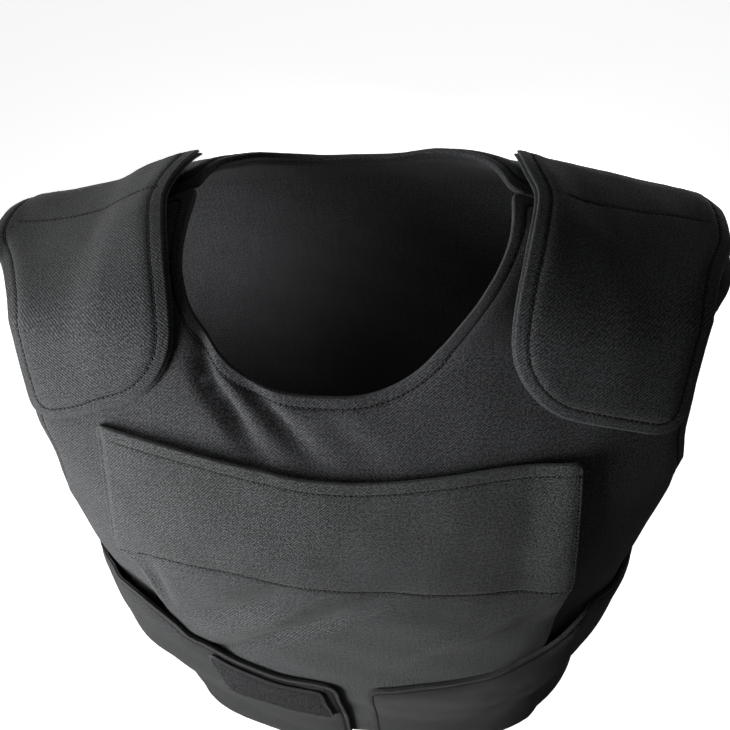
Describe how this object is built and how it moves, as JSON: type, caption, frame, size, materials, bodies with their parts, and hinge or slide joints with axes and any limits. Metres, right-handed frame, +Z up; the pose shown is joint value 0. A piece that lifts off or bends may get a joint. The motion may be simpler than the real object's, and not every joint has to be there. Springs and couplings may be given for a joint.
{
  "type": "bulletproof vest",
  "caption": "Soft armour vest with scoop-neck padded front and back panels, wide shoulder flaps, an open front plate pocket, wrap-round waist wings and a loop patch.",
  "frame": {"origin": "midway between the two shoulder straps, at the height of their undersides, where they rest on the shoulders", "axes": "+Z up, -Y the wearer's front, +X the wearer's left"},
  "size_m": [0.441, 0.2695, 0.4219],
  "materials": {
    "panel_twill": "matt black polyester twill, padded",
    "pocket_twill": "matt black polyester twill, doubled",
    "wing_twill": "matt black polyester twill, lightly padded",
    "flap_twill": "matt black polyester twill, padded",
    "loop_pile": "black looped pile of a hook-and-loop patch"
  },
  "bodies": {
    "root": {"front_panel": "panel_twill", "back_panel": "panel_twill", "front_pocket": "pocket_twill", "waist_wing_left": "wing_twill", "waist_wing_right": "wing_twill", "shoulder_flap_left": "flap_twill", "shoulder_flap_right": "flap_twill", "loop_patch": "loop_pile"}
  },
  "joints": []
}
